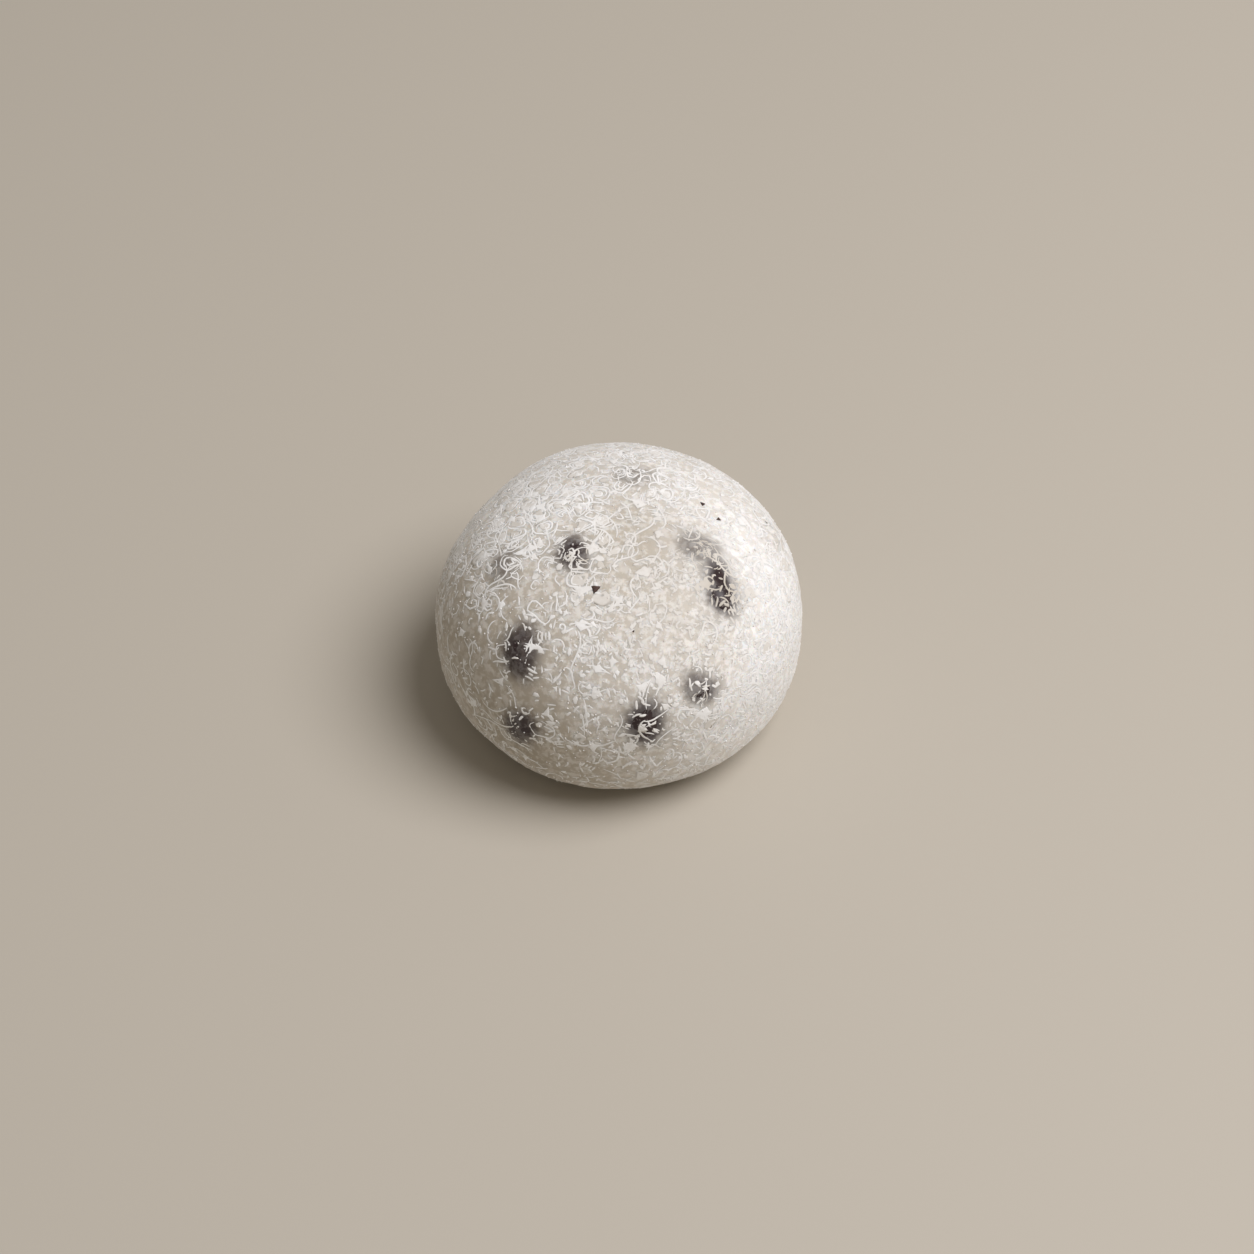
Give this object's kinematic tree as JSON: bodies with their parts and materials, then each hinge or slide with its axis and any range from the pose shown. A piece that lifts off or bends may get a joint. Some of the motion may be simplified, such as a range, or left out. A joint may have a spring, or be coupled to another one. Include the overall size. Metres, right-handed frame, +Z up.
{
  "type": "mochi rice cake",
  "caption": "Soft hand-rounded rice cake: a low dome on a flat foot, dusted with starch, with whole cooked beans kneaded in so close under the skin that their backs show.",
  "frame": {"origin": "middle of the flat foot, on the surface the cake rests on", "axes": "+Z up, the cake's shortest way; -Y towards the side that shows in front, +X to its right"},
  "size_m": [0.0528, 0.0533, 0.0349],
  "materials": {
    "rice_dough": "soft, slightly translucent pounded rice dough, matt under a patchy dusting of white starch",
    "bean_skin": "dark purple-brown skin of a cooked bean, faintly glossy where the starch has not reached"
  },
  "bodies": {
    "root": {"dough": "rice_dough", "bean_crown": "bean_skin", "bean_upper_left": "bean_skin", "bean_left_shoulder": "bean_skin", "bean_upper_right": "bean_skin", "bean_right_shoulder": "bean_skin", "bean_left_flank": "bean_skin", "bean_lower_left": "bean_skin", "bean_front": "bean_skin", "bean_lower_right": "bean_skin", "bean_right_edge": "bean_skin", "bean_back_right": "bean_skin", "bean_back_high": "bean_skin", "bean_back_low": "bean_skin", "bean_back_left": "bean_skin", "bean_left_side": "bean_skin"}
  },
  "joints": []
}
